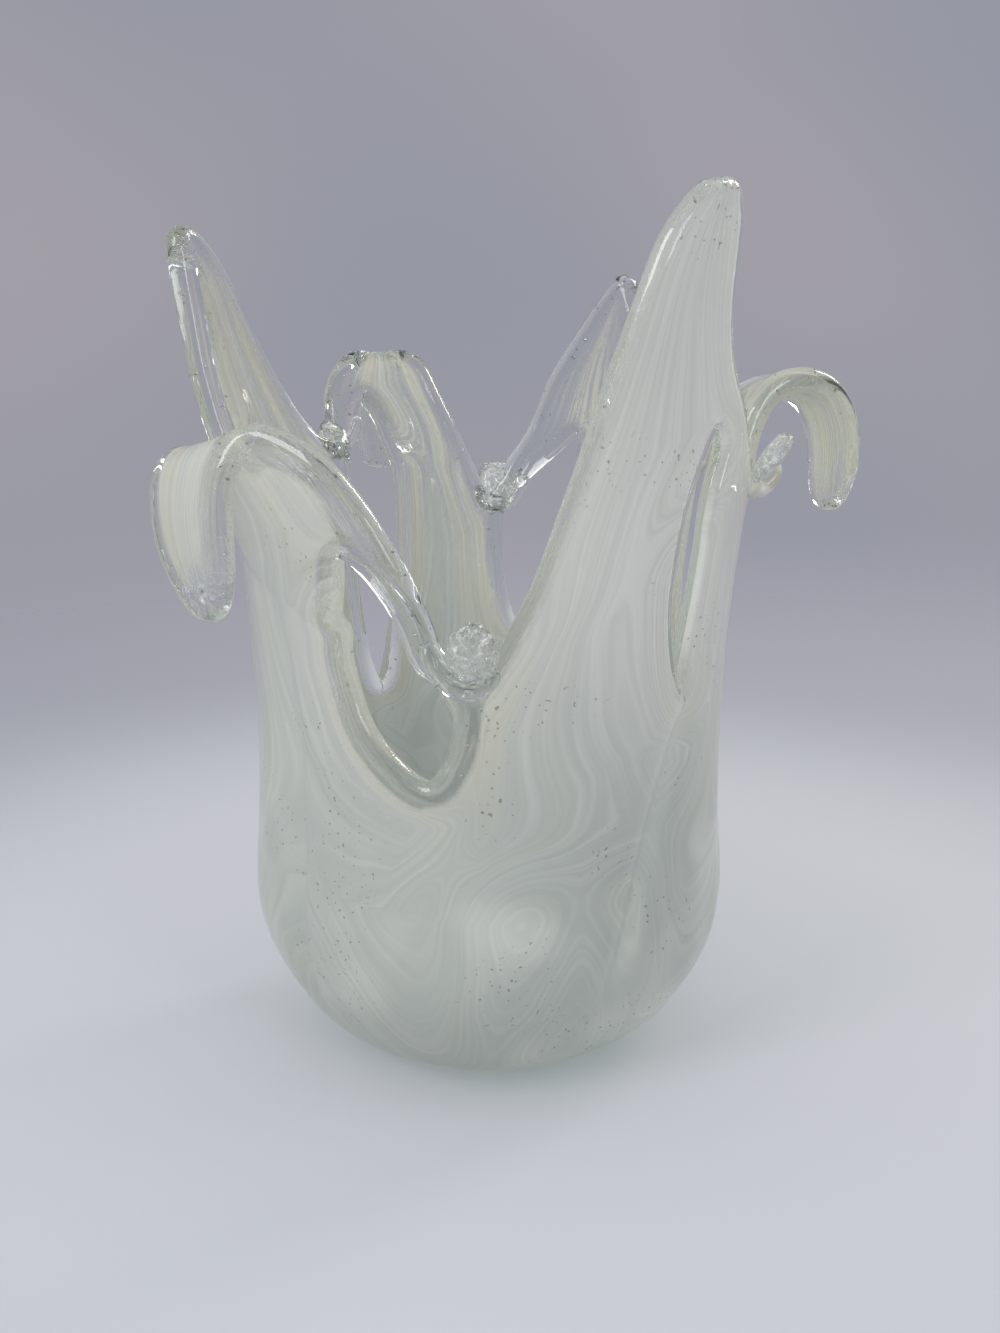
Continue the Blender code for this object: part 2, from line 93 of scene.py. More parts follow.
# One entry per petal. A rail row is (place along the petal from 0 at the junction to 1 at the
# tip, azimuth, radius, height). A hole row is (the same place, left share, right share). The
# milk row is (place along the petal, density). Clear holds the width in millimetres of the
# clear band at the left rail, the hole and the right rail. Strap is the milk's share there,
# and crackle how strongly the tip is crackled. Knob is the place of the knob at the right
# rail's root, outwards and up, its lean in degrees, and its depth, width and height.
PETALS = [
    dict(
        name="hook_front", columns=7, split=5, rows=[0.13, 0.26, 0.38, 0.49, 0.62, 0.76, 0.9, 1.0],
        slit=(2, 7), bow=1.0,
        left=[(0, 185, 75, 167), (0.15, 187.5, 81, 178.5), (0.3, 191.5, 89.5, 189.5),
              (0.42, 195.5, 96.5, 194.3), (0.54, 199, 103, 191), (0.66, 201, 105, 181.5),
              (0.82, 203.5, 103.5, 167), (1, 208.5, 98, 152.5)],
        right=[(0, 268, 71, 137), (0.03, 263.2, 72, 139.5), (0.07, 259.6, 73, 145.3),
               (0.12, 257.2, 74, 153.8), (0.18, 253.6, 76, 166), (0.24, 248.6, 78, 179),
               (0.35, 236.5, 80.5, 199), (0.45, 225.5, 84, 206.5), (0.55, 221, 89, 206),
               (0.66, 220, 94.5, 197.5), (0.8, 220, 96.5, 182), (0.9, 219.7, 95.5, 166.5),
               (1, 218.5, 94.5, 150.5)],
        hole=[(-0.455, 0.838, 0.838), (-0.44, 0.80, 0.865), (-0.38, 0.728, 0.89),
              (-0.304, 0.67, 0.912), (-0.21, 0.638, 0.922), (-0.1, 0.615, 0.908),
              (-0.05, 0.615, 0.88), (0.03, 0.645, 0.885), (0.086, 0.682, 0.90),
              (0.134, 0.72, 0.888), (0.17, 0.755, 0.862), (0.19, 0.80, 0.80)],
        milk=[(-1, 1), (0, 1), (0.5, 1), (0.8, 0.95), (0.89, 0.25), (0.95, 0.0), (1, 0)],
        clear=(5.5, 8.5, 7.5), strap=0.12, crackle=1.0, knob=(4.0, 9.5, 25.0, 9, 15.5, 23.5),
        curl=[(-15.5, 2.5, 13, 2.0), (-14, 3, 9, 2.6), (-11, 2.8, 2.5, 3.0), (-7, 2.6, -0.8, 3.1),
              (-2, 2.6, -1.4, 3.0), (2.5, 2.2, 0.8, 2.4), (5, 1.6, 5, 1.0)],
    ),
    dict(
        name="spike_front", columns=7, split=4, rows=[0.14, 0.28, 0.42, 0.56, 0.71, 0.86, 1.0],
        slit=(2, 8), bow=1.0,
        left=[(0, 268, 71, 137), (0.15, 277.5, 73, 158), (0.3, 283.8, 75, 180),
              (0.45, 289, 77.5, 201.5), (0.6, 293.8, 80, 223.5), (0.75, 298.8, 82.5, 244.5),
              (0.9, 305, 84.5, 266), (1, 312, 85, 278)],
        right=[(0, 350, 78.5, 186), (0.15, 344, 79, 197), (0.3, 338, 79.5, 210),
               (0.45, 332.5, 79, 222.5), (0.6, 329.5, 79, 236), (0.75, 327.3, 81, 250.5),
               (0.9, 326, 84, 268), (1, 324.5, 86, 278.5)],
        hole=[(-0.41, 0.682, 0.682), (-0.36, 0.635, 0.692), (-0.264, 0.603, 0.675),
              (-0.122, 0.578, 0.682), (0.012, 0.568, 0.69), (0.1, 0.566, 0.71),
              (0.16, 0.572, 0.755), (0.2, 0.584, 0.805), (0.25, 0.617, 0.838),
              (0.3, 0.67, 0.83), (0.345, 0.765, 0.765)],
        milk=[(-1, 1), (0, 1), (0.8, 1), (0.93, 0.9), (1, 0.35)],
        clear=(3.2, 2.6, 1.6), strap=1.0, crackle=0.3, knob=(9.5, 7.5, 36.0, 7.5, 13, 18.5),
        curl=[(-7, 0, 12, 2.0), (-6, 0.3, 8, 2.7), (-5, 0.8, 2.5, 3.1), (-3, 2.5, -1.6, 3.2),
              (-0.5, 6, -2.4, 3.0), (1, 9.5, 0.5, 2.4), (1, 12, 5, 1.0)],
    ),
    dict(
        name="hook_right", columns=5, split=3, rows=[0.17, 0.33, 0.43, 0.53, 0.64, 0.76, 0.9, 1.0],
        slit=(1, 7), bow=1.0,
        left=[(0, 350, 78.5, 186), (0.15, 352.5, 80, 199), (0.3, 356, 86, 211),
              (0.45, 358.5, 96.5, 215.5), (0.6, 360.5, 107.5, 211.5), (0.75, 361, 113.5, 200),
              (0.88, 362, 114.5, 186.5), (1, 363.5, 111.5, 172)],
        right=[(0, 394, 78, 181), (0.15, 389, 80.5, 193.5), (0.3, 383, 86, 204),
               (0.45, 378, 93.5, 208.5), (0.6, 374.5, 100.5, 206.5), (0.75, 372, 104.5, 198),
               (0.88, 371, 105.5, 186), (1, 369.5, 104, 171)],
        hole=[(-0.6, 0.75, 0.75), (-0.5, 0.68, 0.86), (-0.3, 0.6, 0.92), (-0.1, 0.56, 0.90),
              (0, 0.55, 0.87), (0.1, 0.54, 0.80), (0.2, 0.55, 0.70), (0.26, 0.62, 0.62)],
        milk=[(-1, 1), (-0.2, 0.95), (0.3, 0.85), (0.8, 0.75), (0.93, 0.45), (1, 0.1)],
        clear=(4.5, 3.0, 2.0), strap=0.6, crackle=0.4, knob=(4.0, 6.5, 25.0, 8, 14, 19),
        curl=CURL,
    ),
    dict(
        name="spike_right", columns=5, split=3, rows=[0.18, 0.37, 0.49, 0.61, 0.74, 0.87, 1.0],
        slit=(2, 7), bow=1.0,
        left=[(0, 34, 78, 181), (0.15, 36.5, 78, 190), (0.3, 39, 78, 199), (0.5, 43, 78, 212),
              (0.7, 47, 78, 224), (0.87, 50.5, 79, 235), (1, 52.5, 80, 242)],
        right=[(0, 90, 77, 162), (0.15, 86, 79, 173), (0.3, 81.1, 79, 183),
               (0.5, 75.8, 77.5, 199.5), (0.7, 69.5, 77, 214), (0.87, 61, 77.5, 231.5),
               (1, 56, 80, 242)],
        hole=[(-0.5, 0.786, 0.786), (-0.43, 0.70, 0.88), (-0.25, 0.62, 0.93), (-0.1, 0.6, 0.935),
              (0, 0.6, 0.91), (0.1, 0.605, 0.84), (0.2, 0.62, 0.76), (0.27, 0.67, 0.67)],
        milk=[(-1, 1), (-0.4, 0.85), (0, 0.45), (0.3, 0.2), (0.7, 0.1), (1, 0.0)],
        clear=(3.5, 4.0, 4.5), strap=0.2, crackle=0.4, knob=(4.0, 4.5, 25.0, 8, 14, 19),
        curl=CURL,
    ),
    dict(
        name="hook_back", columns=4, split=2, rows=[0.16, 0.32, 0.48, 0.58, 0.68, 0.79, 0.9, 1.0],
        slit=(1, 8), bow=1.0,
        left=[(0, 90, 77, 162), (0.15, 94.5, 78, 174.5), (0.3, 99, 81, 189),
              (0.42, 102, 86, 199.5), (0.53, 103.8, 92.5, 207), (0.64, 106.5, 100, 209),
              (0.75, 107, 107, 203.5), (0.87, 107, 109, 189), (1, 107.5, 107, 169)],
        right=[(0, 132.5, 79, 184), (0.15, 131, 84.5, 189), (0.3, 129.5, 89, 195.5),
               (0.42, 127.5, 93, 202), (0.53, 123.5, 97, 208), (0.64, 119.5, 101.5, 209.5),
               (0.75, 117, 106.5, 204), (0.87, 116.2, 108.5, 190), (1, 115.8, 107, 170.5)],
        hole=[(-0.683, 0.81, 0.81), (-0.58, 0.72, 0.90), (-0.41, 0.65, 0.945),
              (-0.223, 0.61, 0.94), (0, 0.60, 0.90), (0.15, 0.597, 0.85), (0.28, 0.61, 0.79),
              (0.38, 0.69, 0.69)],
        milk=[(-1, 1), (-0.3, 0.85), (0, 0.6), (0.5, 0.5), (0.8, 0.35), (0.95, 0.1), (1, 0)],
        clear=(4.5, 5.0, 5.0), strap=0.15, crackle=0.3, knob=(3.5, 2.0, 25.0, 7, 10, 14),
        curl=CURL,
    ),
    dict(
        name="spike_back", columns=4, split=2, rows=[0.16, 0.32, 0.49, 0.66, 0.83, 0.97, 1.0],
        slit=(2, 11), bow=0.5,
        left=[(0, 132.5, 79, 184), (0.15, 138.5, 82.5, 191.5), (0.35, 146, 88, 211),
              (0.55, 152, 91, 228.5), (0.75, 158.5, 93, 245.5), (0.9, 165, 95.5, 256.5),
              (1, 169.5, 98, 261)],
        right=[(0, 185, 75, 167), (0.15, 182, 80, 184), (0.3, 180.2, 85, 198),
               (0.45, 178.5, 90, 214.5), (0.65, 176.5, 94, 232.5), (0.85, 174.5, 97.5, 248.5),
               (1, 173, 99.5, 260)],
        hole=[(-0.5, 0.81, 0.81), (-0.42, 0.73, 0.88), (-0.25, 0.66, 0.92), (0, 0.62, 0.89),
              (0.2, 0.60, 0.83), (0.4, 0.59, 0.78), (0.6, 0.56, 0.73), (0.73, 0.54, 0.68),
              (0.84, 0.60, 0.60)],
        milk=[(-1, 1), (-0.3, 0.85), (0, 0.6), (0.5, 0.5), (0.75, 0.35), (0.88, 0.05), (1, 0)],
        clear=(3.5, 2.5, 3.0), strap=0.6, crackle=0.0, knob=(4.0, 6.5, 25.0, 8, 14, 19),
        curl=CURL,
    ),
]


def spline(t, stations):
    """Natural cubic spline: between two stations a cubic whose slope and bend run on."""
    table = np.asarray(stations, float)
    knots, values = table[:, 0], table[:, 1:]
    steps = np.diff(knots)
    count = len(knots)
    system, target = np.eye(count), np.zeros_like(values)
    for i in range(1, count - 1):
        system[i, i - 1:i + 2] = steps[i - 1], 2 * (steps[i - 1] + steps[i]), steps[i]
        target[i] = 3 * ((values[i + 1] - values[i]) / steps[i]
                         - (values[i] - values[i - 1]) / steps[i - 1])
    second = np.linalg.solve(system, target)
    t = np.asarray(t, float)
    i = np.clip(np.searchsorted(knots, t, side="right") - 1, 0, count - 2)
    h = steps[i][..., None]
    slope = (values[i + 1] - values[i]) / h - h * (2 * second[i] + second[i + 1]) / 3
    third = (second[i + 1] - second[i]) / (3 * h)
    x = (t - knots[i])[..., None]
    return values[i] + x * (slope + x * (second[i] + x * third))


def smooth(x):
    """Smooth step: 3x squared minus 2x cubed, held at 0 below 0 and at 1 above 1."""
    x = np.clip(x, 0.0, 1.0)
    return x * x * (3.0 - 2.0 * x)


def ripple(seed, waves, *coordinates):
    """Soft noise from -1 to 1: the mean of a few sine waves with fixed random directions."""
    random = np.random.default_rng(seed)
    total = np.zeros_like(np.asarray(coordinates[0], float))
    for _ in range(waves):
        phase = random.uniform(0, 2 * np.pi)
        for coordinate in coordinates:
            phase = phase + random.uniform(-1.7, 1.7) * coordinate
        total = total + np.sin(phase)
    return total / math.sqrt(waves)


def wall_radius(azimuth, height):
    """Radius of the cup: the profile spline plus four soft lobes, a cosine of the azimuth times
    a bell curve of the height, less the folds, bell curves of the azimuth."""
    fine = np.linspace(WALL_PROFILE[0][0], 220.0, 441)
    radius = np.interp(height, fine, spline(fine, WALL_PROFILE)[:, 0])
    swell = LOBE_DEPTH * np.exp(-((height - LOBE_HEIGHT) / LOBE_SPREAD) ** 2)
    swell = swell * smooth((height - 1.0) / 14.0)
    radius = radius + swell * np.cos(np.radians(4.0 * (azimuth - LOBE_FRONT)))
    window = smooth((height - 14.0) / 26.0) * smooth((160.0 - height) / 60.0)
    for low, high, depth in FOLDS:
        line = low + (high - low) * np.clip((height - 40.0) / 90.0, 0.0, 1.2)
        aside = (azimuth - line + 180.0) % 360.0 - 180.0
        radius = radius - depth * window * np.exp(-(aside / FOLD_SPREAD) ** 2)
    return radius


def cartesian(azimuth, radius, height):
    """Cylinder coordinates in degrees and millimetres to x, y, z in millimetres."""
    angle = np.radians(azimuth)
    return np.stack([radius * np.cos(angle), radius * np.sin(angle), height + 0 * angle], axis=-1)


def petal_points(petal, along, across):
    """Mid-surface of one petal. Below the junction it is the cup wall between the two rails'
    azimuths. Above it a straight mix of the left and right rail splines, bowed outwards."""
    left = spline(np.clip(along, 0.0, 1.0), petal["left"])
    right = spline(np.clip(along, 0.0, 1.0), petal["right"])
    mixed = left + (right - left) * across[..., None]
    azimuth, radius, height = mixed[..., 0], mixed[..., 1], mixed[..., 2]
    below = along < 0.0
    wall_height = BELT + (height - BELT) * (1.0 + along)
    settle = smooth(1.0 + along)
    wall = wall_radius(azimuth, wall_height) + settle * (radius - wall_radius(azimuth, height))
    bow = petal["bow"] * smooth(along / 0.3) * (1.0 - (2.0 * across - 1.0) ** 2)
    return cartesian(azimuth, np.where(below, wall, radius + bow),
                     np.where(below, wall_height, height))


def petal_width(petal, along):
    """Distance in millimetres between the two rails at a place along the petal."""
    along = np.asarray(along, float)
    ends = [petal_points(petal, along, np.full_like(along, side)) for side in (0.0, 1.0)]
    arc = np.radians(petal["right"][0][1] - petal["left"][0][1]) * MEAN_RADIUS
    gap = np.linalg.norm(ends[1] - ends[0], axis=-1)
    return np.where(along < 0.0, arc, np.maximum(gap, 1.0))


def petal_halves(petal, finer, inset):
    """The petal as two grids, left and right of its hole. A row runs across. Its place along is
    the border row at the rail and moves to the slit row at the hole, where rows are set by the
    cosine of an angle, so that the hole closes in a round end. Rails, hole and tip are moved
    into the glass by the inset, which leaves room for a round rim. Gives for each half the
    points, the place along, the share across, the width of the rim's bulge and the share of
    the way from the rail to the hole."""
    border = np.array(BORDER_ROWS + petal["rows"])
    first, last = petal["slit"]
    columns, split = petal["columns"], petal["split"]
    steps = len(border) - 1
    t = np.linspace(0.0, steps, steps * finer + 1)
    tip_height = np.linalg.norm(petal_points(petal, np.array([1.0]), np.array([0.5]))
                                - petal_points(petal, np.array([0.9]), np.array([0.5]))) / 0.1
    top = 1.0 - inset / tip_height
    x = np.clip(t - (steps - 1), 0.0, 1.0)
    edge = np.interp(t, np.arange(steps + 1), border)
    edge = np.where(x > 0, border[-2] + (1.0 - border[-2]) * np.sin(0.5 * np.pi * x), edge)
    edge = np.where(edge > 0, edge * top, edge)
    closing = np.where(x > 0, 0.42 + 0.58 * np.cos(0.5 * np.pi * x), 1.0)

    hole = np.asarray(petal["hole"], float)
    start, end = hole[0, 0], hole[-1, 0]
    junction = petal["left"][0][3] + (petal["right"][0][3] - petal["left"][0][3]) * hole[0, 1]
    low_step, high_step = inset / (junction - BELT), inset / tip_height
    station_angle = np.arccos(np.clip(1 - 2 * (hole[:, 0] - start) / (end - start), -1, 1))
    angle = np.pi * np.clip((t - first) / (last - first), 0.0, 1.0)
    sides = spline(angle, np.column_stack([station_angle, hole[:, 1:]]))
    centre = sides.mean(axis=-1)
    sides = np.stack([np.minimum(sides[:, 0], centre), np.maximum(sides[:, 1], centre)], -1)
    inside = start + (end - start) * 0.5 * (1.0 - np.cos(angle))
    inside = inside - np.where(angle < 0.5 * np.pi, low_step, high_step) * np.cos(angle)
    low, high = start - low_step, min(end + high_step, 0.97 * top)
    inside = np.minimum(inside, high)
    slit = np.where(t < first, -1.0 + (low + 1.0) * (edge + 1.0) / (border[first] + 1.0), inside)
    above = high + (top - high) * (edge - border[last] * top) / (top - border[last] * top)
    slit = np.where(t > last, above, slit)
    width = petal_width(petal, slit)
    push = inset * np.sin(angle) / width
    room = np.stack([0.42 * sides[:, 0], 0.42 * (1.0 - sides[:, 1])], -1)
    push = np.minimum(push[:, None], room)
    hole_bulge = np.hypot(push * width[:, None], (inset * np.cos(angle))[:, None])
    opened = np.stack([sides[:, 0] - push[:, 0], sides[:, 1] + push[:, 1]], -1)
    plain = split / columns
    below = smooth((slit + 1.0) / (low + 1.0))
    after = smooth((slit - high) / (top - high))
    closed = np.where(t < first, plain + (hole[0, 1] - plain) * below,
                      hole[-1, 1] + (plain - hole[-1, 1]) * after)
    opened = np.where(((t < first) | (t > last))[:, None], closed[:, None], opened)
    hole_bulge = np.where(((t < first) | (t > last))[:, None], 0.0, hole_bulge)

    halves = []
    for side in (0, 1):
        count = (split if side == 0 else columns - split) * finer
        share = np.linspace(0.0, 1.0, count + 1)[None, :]
        near = share if side == 0 else 1.0 - share
        along = edge[:, None] + (slit - edge)[:, None] * near
        width_here = petal_width(petal, along)
        beside = opened[:, 0:1] if side == 0 else 1.0 - opened[:, 1:2]
        rim = np.minimum(inset * smooth(along / 0.1), np.minimum(0.42, 0.7 * beside) * width_here)
        margin = rim / width_here
        if side == 0:
            across = margin + (opened[:, 0:1] - margin) * share
        else:
            across = opened[:, 1:2] + (1.0 - margin - opened[:, 1:2]) * share
        across = 0.5 + (across - 0.5) * closing[:, None]
        bulge = np.zeros_like(along)
        rail_column = 0 if side == 0 else -1
        bulge[:, -1 if side == 0 else 0] = hole_bulge[:, side]
        rail_bulge = np.maximum(rim[:, rail_column], 0.3 * inset)
        bulge[:, rail_column] = np.where(edge >= 0, rail_bulge, 0.0)
        bulge[-1] = np.maximum(bulge[-1], np.minimum(inset, 0.6 * petal_width(petal, along[-1])))
        near = np.broadcast_to(near, along.shape)
        halves.append((petal_points(petal, along, across), along, across, bulge, near))
    return halves


def grid_faces(rows, columns):
    """Corner numbers of the quads of a grid, counter-clockwise with the rows going up."""
    number = np.arange(rows * columns).reshape(rows, columns)
    return np.stack([number[:-1, :-1], number[:-1, 1:], number[1:, 1:], number[1:, :-1]],
                    -1).reshape(-1, 4)


def petal_flow(petal, along, across):
    """Flow coordinates in millimetres: across the petal at the cup's size, and up along it."""
    begin, finish = petal["left"][0][1], petal["right"][0][1]
    sideways = np.radians(begin + (finish - begin) * across) * MEAN_RADIUS
    junction = petal["left"][0][3] + (petal["right"][0][3] - petal["left"][0][3]) * across
    up = np.where(along < 0, BELT + (junction - BELT) * (1 + along), junction + along * 130.0)
    return np.stack([sideways, up], -1)


def milk_values(petal, side, along, across):
    """Density of the milk layer and width of its clear band. The density follows the petal's
    row. Beside the hole the strap has its own share of it."""
    density = np.clip(np.interp(along, *np.array(petal["milk"], float).T), 0, 1)
    clear = np.full_like(along, petal["clear"][1 if side == 0 else 2])
    hole = np.asarray(petal["hole"], float)
    seam = np.interp(along, hole[:, 0], hole[:, 1 + side])
    if side == 0:
        near_rail = smooth((0.5 * seam - across) / (0.3 * seam) + 0.5) * smooth(along / 0.15 + 0.5)
        clear = clear + (petal["clear"][0] - clear) * near_rail
    else:
        in_strap = smooth((along - hole[0, 0] - 0.12) / 0.25)
        in_strap = in_strap * (1.0 - smooth((along - hole[-1, 0] - 0.02) / 0.16))
        density = density * (1.0 + (petal["strap"] - 1.0) * in_strap)
    return density, clear


def glass_sheet(finer, inset):
    """The whole mid-surface: six petals and the foot, as merged points with quads and
    triangles. The foot turns the foot path round the axis under the petals' lowest row."""
    points, faces, flow = [], [], []
    stores = dict(bulge=[], milk=[], clear=[], place=[], tip=[], near=[])
    total = 0

    def add(grid, corners, grid_flow, **values):
        nonlocal total
        points.append(grid.reshape(-1, 3))
        faces.append(corners + total)
        flow.append(grid_flow.reshape(-1, 2))
        for key, store in stores.items():
            store.append(np.broadcast_to(values[key], grid.shape[:-1]).reshape(-1))
        total += grid.shape[0] * grid.shape[1]

    belt = []
    for petal in PETALS:
        halves = petal_halves(petal, finer, inset)
        for side, (grid, along, across, swell, near) in enumerate(halves):
            density, band = milk_values(petal, side, along, across)
            add(grid, grid_faces(*along.shape), petal_flow(petal, along, across), bulge=swell,
                milk=density, clear=band, place=along, near=near,
                tip=petal["crackle"] * smooth((along - 0.84) / 0.12))
            begin, finish = petal["left"][0][1], petal["right"][0][1]
            belt.append((begin + (finish - begin) * across[0])[0 if not belt else 1:])
    azimuth = np.concatenate(belt)[None, :]
    path = np.asarray(FOOT_PATH, float)
    length = np.linspace(path[-1, 0], 0.0, 12 * finer + 1)[:, None]
    radius, height = np.moveaxis(spline(length, path), -1, 0)
    on_wall = smooth((height - 6.0) / 8.0)
    radius = radius + on_wall * (wall_radius(azimuth, height) - radius)
    radius = np.where(length == 0.0, 0.0, radius)
    grid = cartesian(azimuth + 0 * radius, radius, height + 0 * azimuth)
    foot_flow = np.stack([np.radians(azimuth) * MEAN_RADIUS + 0 * radius,
                          length - (FOOT_PATH[-1][0] - BELT) + 0 * azimuth], -1)
    add(grid, grid_faces(*grid.shape[:2])[:, ::-1], foot_flow, bulge=0.0, milk=1.0, clear=3.0,
        place=-1.0, tip=0.0, near=0.5)

    points, faces = np.concatenate(points), np.concatenate(faces)
    keys = np.round(points * 2000.0).astype(np.int64)
    _, keep, merged = np.unique(keys, axis=0, return_index=True, return_inverse=True)
    sheet = {key: np.concatenate(store)[keep] for key, store in stores.items()}
    return dict(sheet, points=points[keep], faces=merged.reshape(-1)[faces], corners=faces,
                flow=np.concatenate(flow))


def point_normals(points, faces):
    """Unit normal of each point: the sum of its faces' normals, each the cross product of the
    face's diagonals."""
    diagonal = np.cross(points[faces[:, 2]] - points[faces[:, 0]],
                        points[faces[:, 3]] - points[faces[:, 1]])
    total = np.zeros_like(points)
    for corner in range(4):
        np.add.at(total, faces[:, corner], diagonal)
    return total / np.maximum(np.linalg.norm(total, axis=1, keepdims=True), 1e-12)


def open_edges(faces):
    """The edges that only one face has, in that face's direction."""
    edges = np.concatenate([faces[:, [i, (i + 1) % 4]] for i in range(4)])
    edges = edges[edges[:, 0] != edges[:, 1]]
    _, number, count = np.unique(np.sort(edges, axis=1), axis=0, return_inverse=True,
                                 return_counts=True)
    return edges[count[number.reshape(-1)] == 1]


def rim_of(sheet):
    """The points on the sheet's open edges."""
    return sheet["points"][np.unique(open_edges(sheet["faces"]))]


def edge_distance(points, rim_points):
    """Distance from each point to the nearest rim point, in slices to spare memory."""
    found = [np.sqrt(((part[:, None, :] - rim_points[None]) ** 2).sum(-1).min(1))
             for part in np.array_split(points, max(1, len(points) // 1500))]
    return np.concatenate(found)


def pull_lines(sheet, rim_points, edge):
    """The number that is constant along a pull line. In the petals it is the share of the way
    from a rail to the hole, so that the lines run with the pull. Close to a hole and low on the
    cup it is a soft distance to the rims, with heights counted at less than half: minus the
    softness times the logarithm of the sum of exp(-distance / softness). Low on the front it
    is half the height plus the distance sideways from the comb line, which draws nested
    arches like a comb pulled up through the milk."""
    points = sheet["points"]
    squash = np.array([1.0, 1.0, 0.42])
    softness = 4.0
    found = []
    for part in np.array_split(points, max(1, len(points) // 1500)):
        gap = np.sqrt((((part[:, None, :] - rim_points[None]) * squash) ** 2).sum(-1))
        least = gap.min(1)
        close = np.exp(-(gap - least[:, None]) / softness).sum(1)
        found.append(least - softness * np.log(close))
    round_hole = np.exp(-(edge / 13.0) ** 2) * smooth((0.3 - sheet["place"]) / 0.3)
    low = smooth((118.0 - points[:, 2]) / 70.0)
    share = np.maximum(round_hole, low)
    lines = share * np.concatenate(found) + (1.0 - share) * 46.0 * sheet["near"]
    azimuth = np.degrees(np.arctan2(points[:, 1], points[:, 0])) % 360
    aside = (azimuth - COMB["azimuth"] + 180.0) % 360.0 - 180.0
    arch = 0.5 * points[:, 2] + np.sqrt((np.radians(aside) * MEAN_RADIUS) ** 2 + 9.0)
    combed = np.exp(-(aside / COMB["spread"]) ** 4)
    combed = combed * smooth((COMB["top"] - points[:, 2]) / 30.0) * smooth(points[:, 2] / 20.0)
    return lines + combed * (arch - lines)


def thicken(sheet, half, shift, rim_steps):
    """A closed body: the sheet moved out and in along its normals by half the thickness, and a
    half round rim between them. A rim point is the edge point plus the outward side direction
    times the bulge times a cosine, plus the normal times the half thickness times a sine."""
    points, faces = sheet["points"], sheet["faces"]
    normals = point_normals(points, faces)
    middle = points + normals * shift
    edges = open_edges(faces)
    rim = np.unique(edges)
    rank = np.full(len(points), -1)
    rank[rim] = np.arange(len(rim))
    following, leading = np.zeros((2, len(points)), int)
    following[edges[:, 0]] = edges[:, 1]
    leading[edges[:, 1]] = edges[:, 0]
    tangent = points[following[rim]] - points[leading[rim]]
    sideways = np.cross(tangent, normals[rim])
    sideways /= np.maximum(np.linalg.norm(sideways, axis=1, keepdims=True), 1e-12)
    count = len(points)
    parts = [middle + normals * half[:, None], middle - normals * half[:, None]]
    angles = np.linspace(0.5 * np.pi, -0.5 * np.pi, rim_steps + 1)[1:-1]
    for angle in angles:
        parts.append(middle[rim]
                     + sideways * (sheet["bulge"][rim] * np.cos(angle))[:, None]
                     + normals[rim] * (half[rim] * np.sin(angle))[:, None])
    source = np.concatenate([np.arange(count), np.arange(count)] + [rim] * len(angles))
    levels = [np.arange(count)[edges]]
    levels += [2 * count + i * len(rim) + rank[edges] for i in range(len(angles))]
    levels += [count + edges]
    quads = [faces, faces[:, ::-1] + count]
    corners = [sheet["corners"], sheet["corners"][:, ::-1]]
    flow_of = np.zeros(count, int)
    flow_of[sheet["faces"].reshape(-1)] = sheet["corners"].reshape(-1)
    for upper, lower in zip(levels[:-1], levels[1:]):
        quads.append(np.stack([upper[:, 1], upper[:, 0], lower[:, 0], lower[:, 1]], -1))
        corners.append(flow_of[edges[:, [1, 0, 0, 1]]])
    return np.concatenate(parts), np.concatenate(quads), np.concatenate(corners), source


def put_mesh(name, points, faces, uv=None, values=None):
    """A smooth mesh object at the origin from whole arrays. A quad with a doubled corner
    becomes a triangle. Points are in millimetres."""
    doubled = faces == np.roll(faces, -1, axis=1)
    kept = ~doubled
    sizes = kept.sum(1)
    used = sizes >= 3
    faces, kept, sizes = faces[used], kept[used], sizes[used]
    mesh = bpy.data.meshes.new(name)
    mesh.vertices.add(len(points))
    mesh.vertices.foreach_set("co", (points * MM).astype(np.float32).reshape(-1))
    mesh.loops.add(int(sizes.sum()))
    mesh.loops.foreach_set("vertex_index", faces[kept].astype(np.int32))
    mesh.polygons.add(len(sizes))
    starts = np.concatenate([[0], np.cumsum(sizes)[:-1]])
    mesh.polygons.foreach_set("loop_start", starts.astype(np.int32))
    mesh.polygons.foreach_set("use_smooth", np.ones(len(sizes), bool))
    mesh.update(calc_edges=True)
    if uv is not None:
        layer = mesh.uv_layers.new(name="flow")
        layer.data.foreach_set("uv", uv[used][kept].astype(np.float32).reshape(-1))
    for key, data in (values or {}).items():
        attribute = mesh.attributes.new(key, "FLOAT", "POINT")
        attribute.data.foreach_set("value", data.astype(np.float32))
    mesh.validate()
    piece = bpy.data.objects.new(name, mesh)
    bpy.context.scene.collection.objects.link(piece)
    return piece


def half_thickness(sheet, distance, wall, lip, foot):
    """Half the wall: thicker in the foot, and thicker again in a band along each rim."""
    height = sheet["points"][:, 2]
    wall_here = np.maximum(foot + (wall - foot) * smooth(height / 40.0), wall)
    return 0.5 * (wall_here + (lip - wall) * np.exp(-(distance / 5.5) ** 2))


class Wire:
    """The output of a shader node. Plus, minus and times make Math nodes."""

    def __init__(self, socket):
        self.socket = socket
        self.tree = socket.id_data

    def __add__(self, other):
        return maths("ADD", self, other)

    def __sub__(self, other):
        return maths("SUBTRACT", self, other)

    def __rsub__(self, other):
        return maths("SUBTRACT", other, self)

    def __mul__(self, other):
        return maths("MULTIPLY", self, other)

    def clamped(self):
        """The same Math node, held between 0 and 1."""
        self.socket.node.use_clamp = True
        return self


def node(tree, kind, inputs=None, output=0, **settings):
    """The wire from a new shader node. An input is a value or a wire."""
    made = tree.nodes.new(kind)
    for key, value in settings.items():
        setattr(made, key, value)
    for key, value in (inputs or {}).items():
        if isinstance(value, Wire):
            tree.links.new(value.socket, made.inputs[key])
        else:
            made.inputs[key].default_value = value
    return Wire(made.outputs[output])


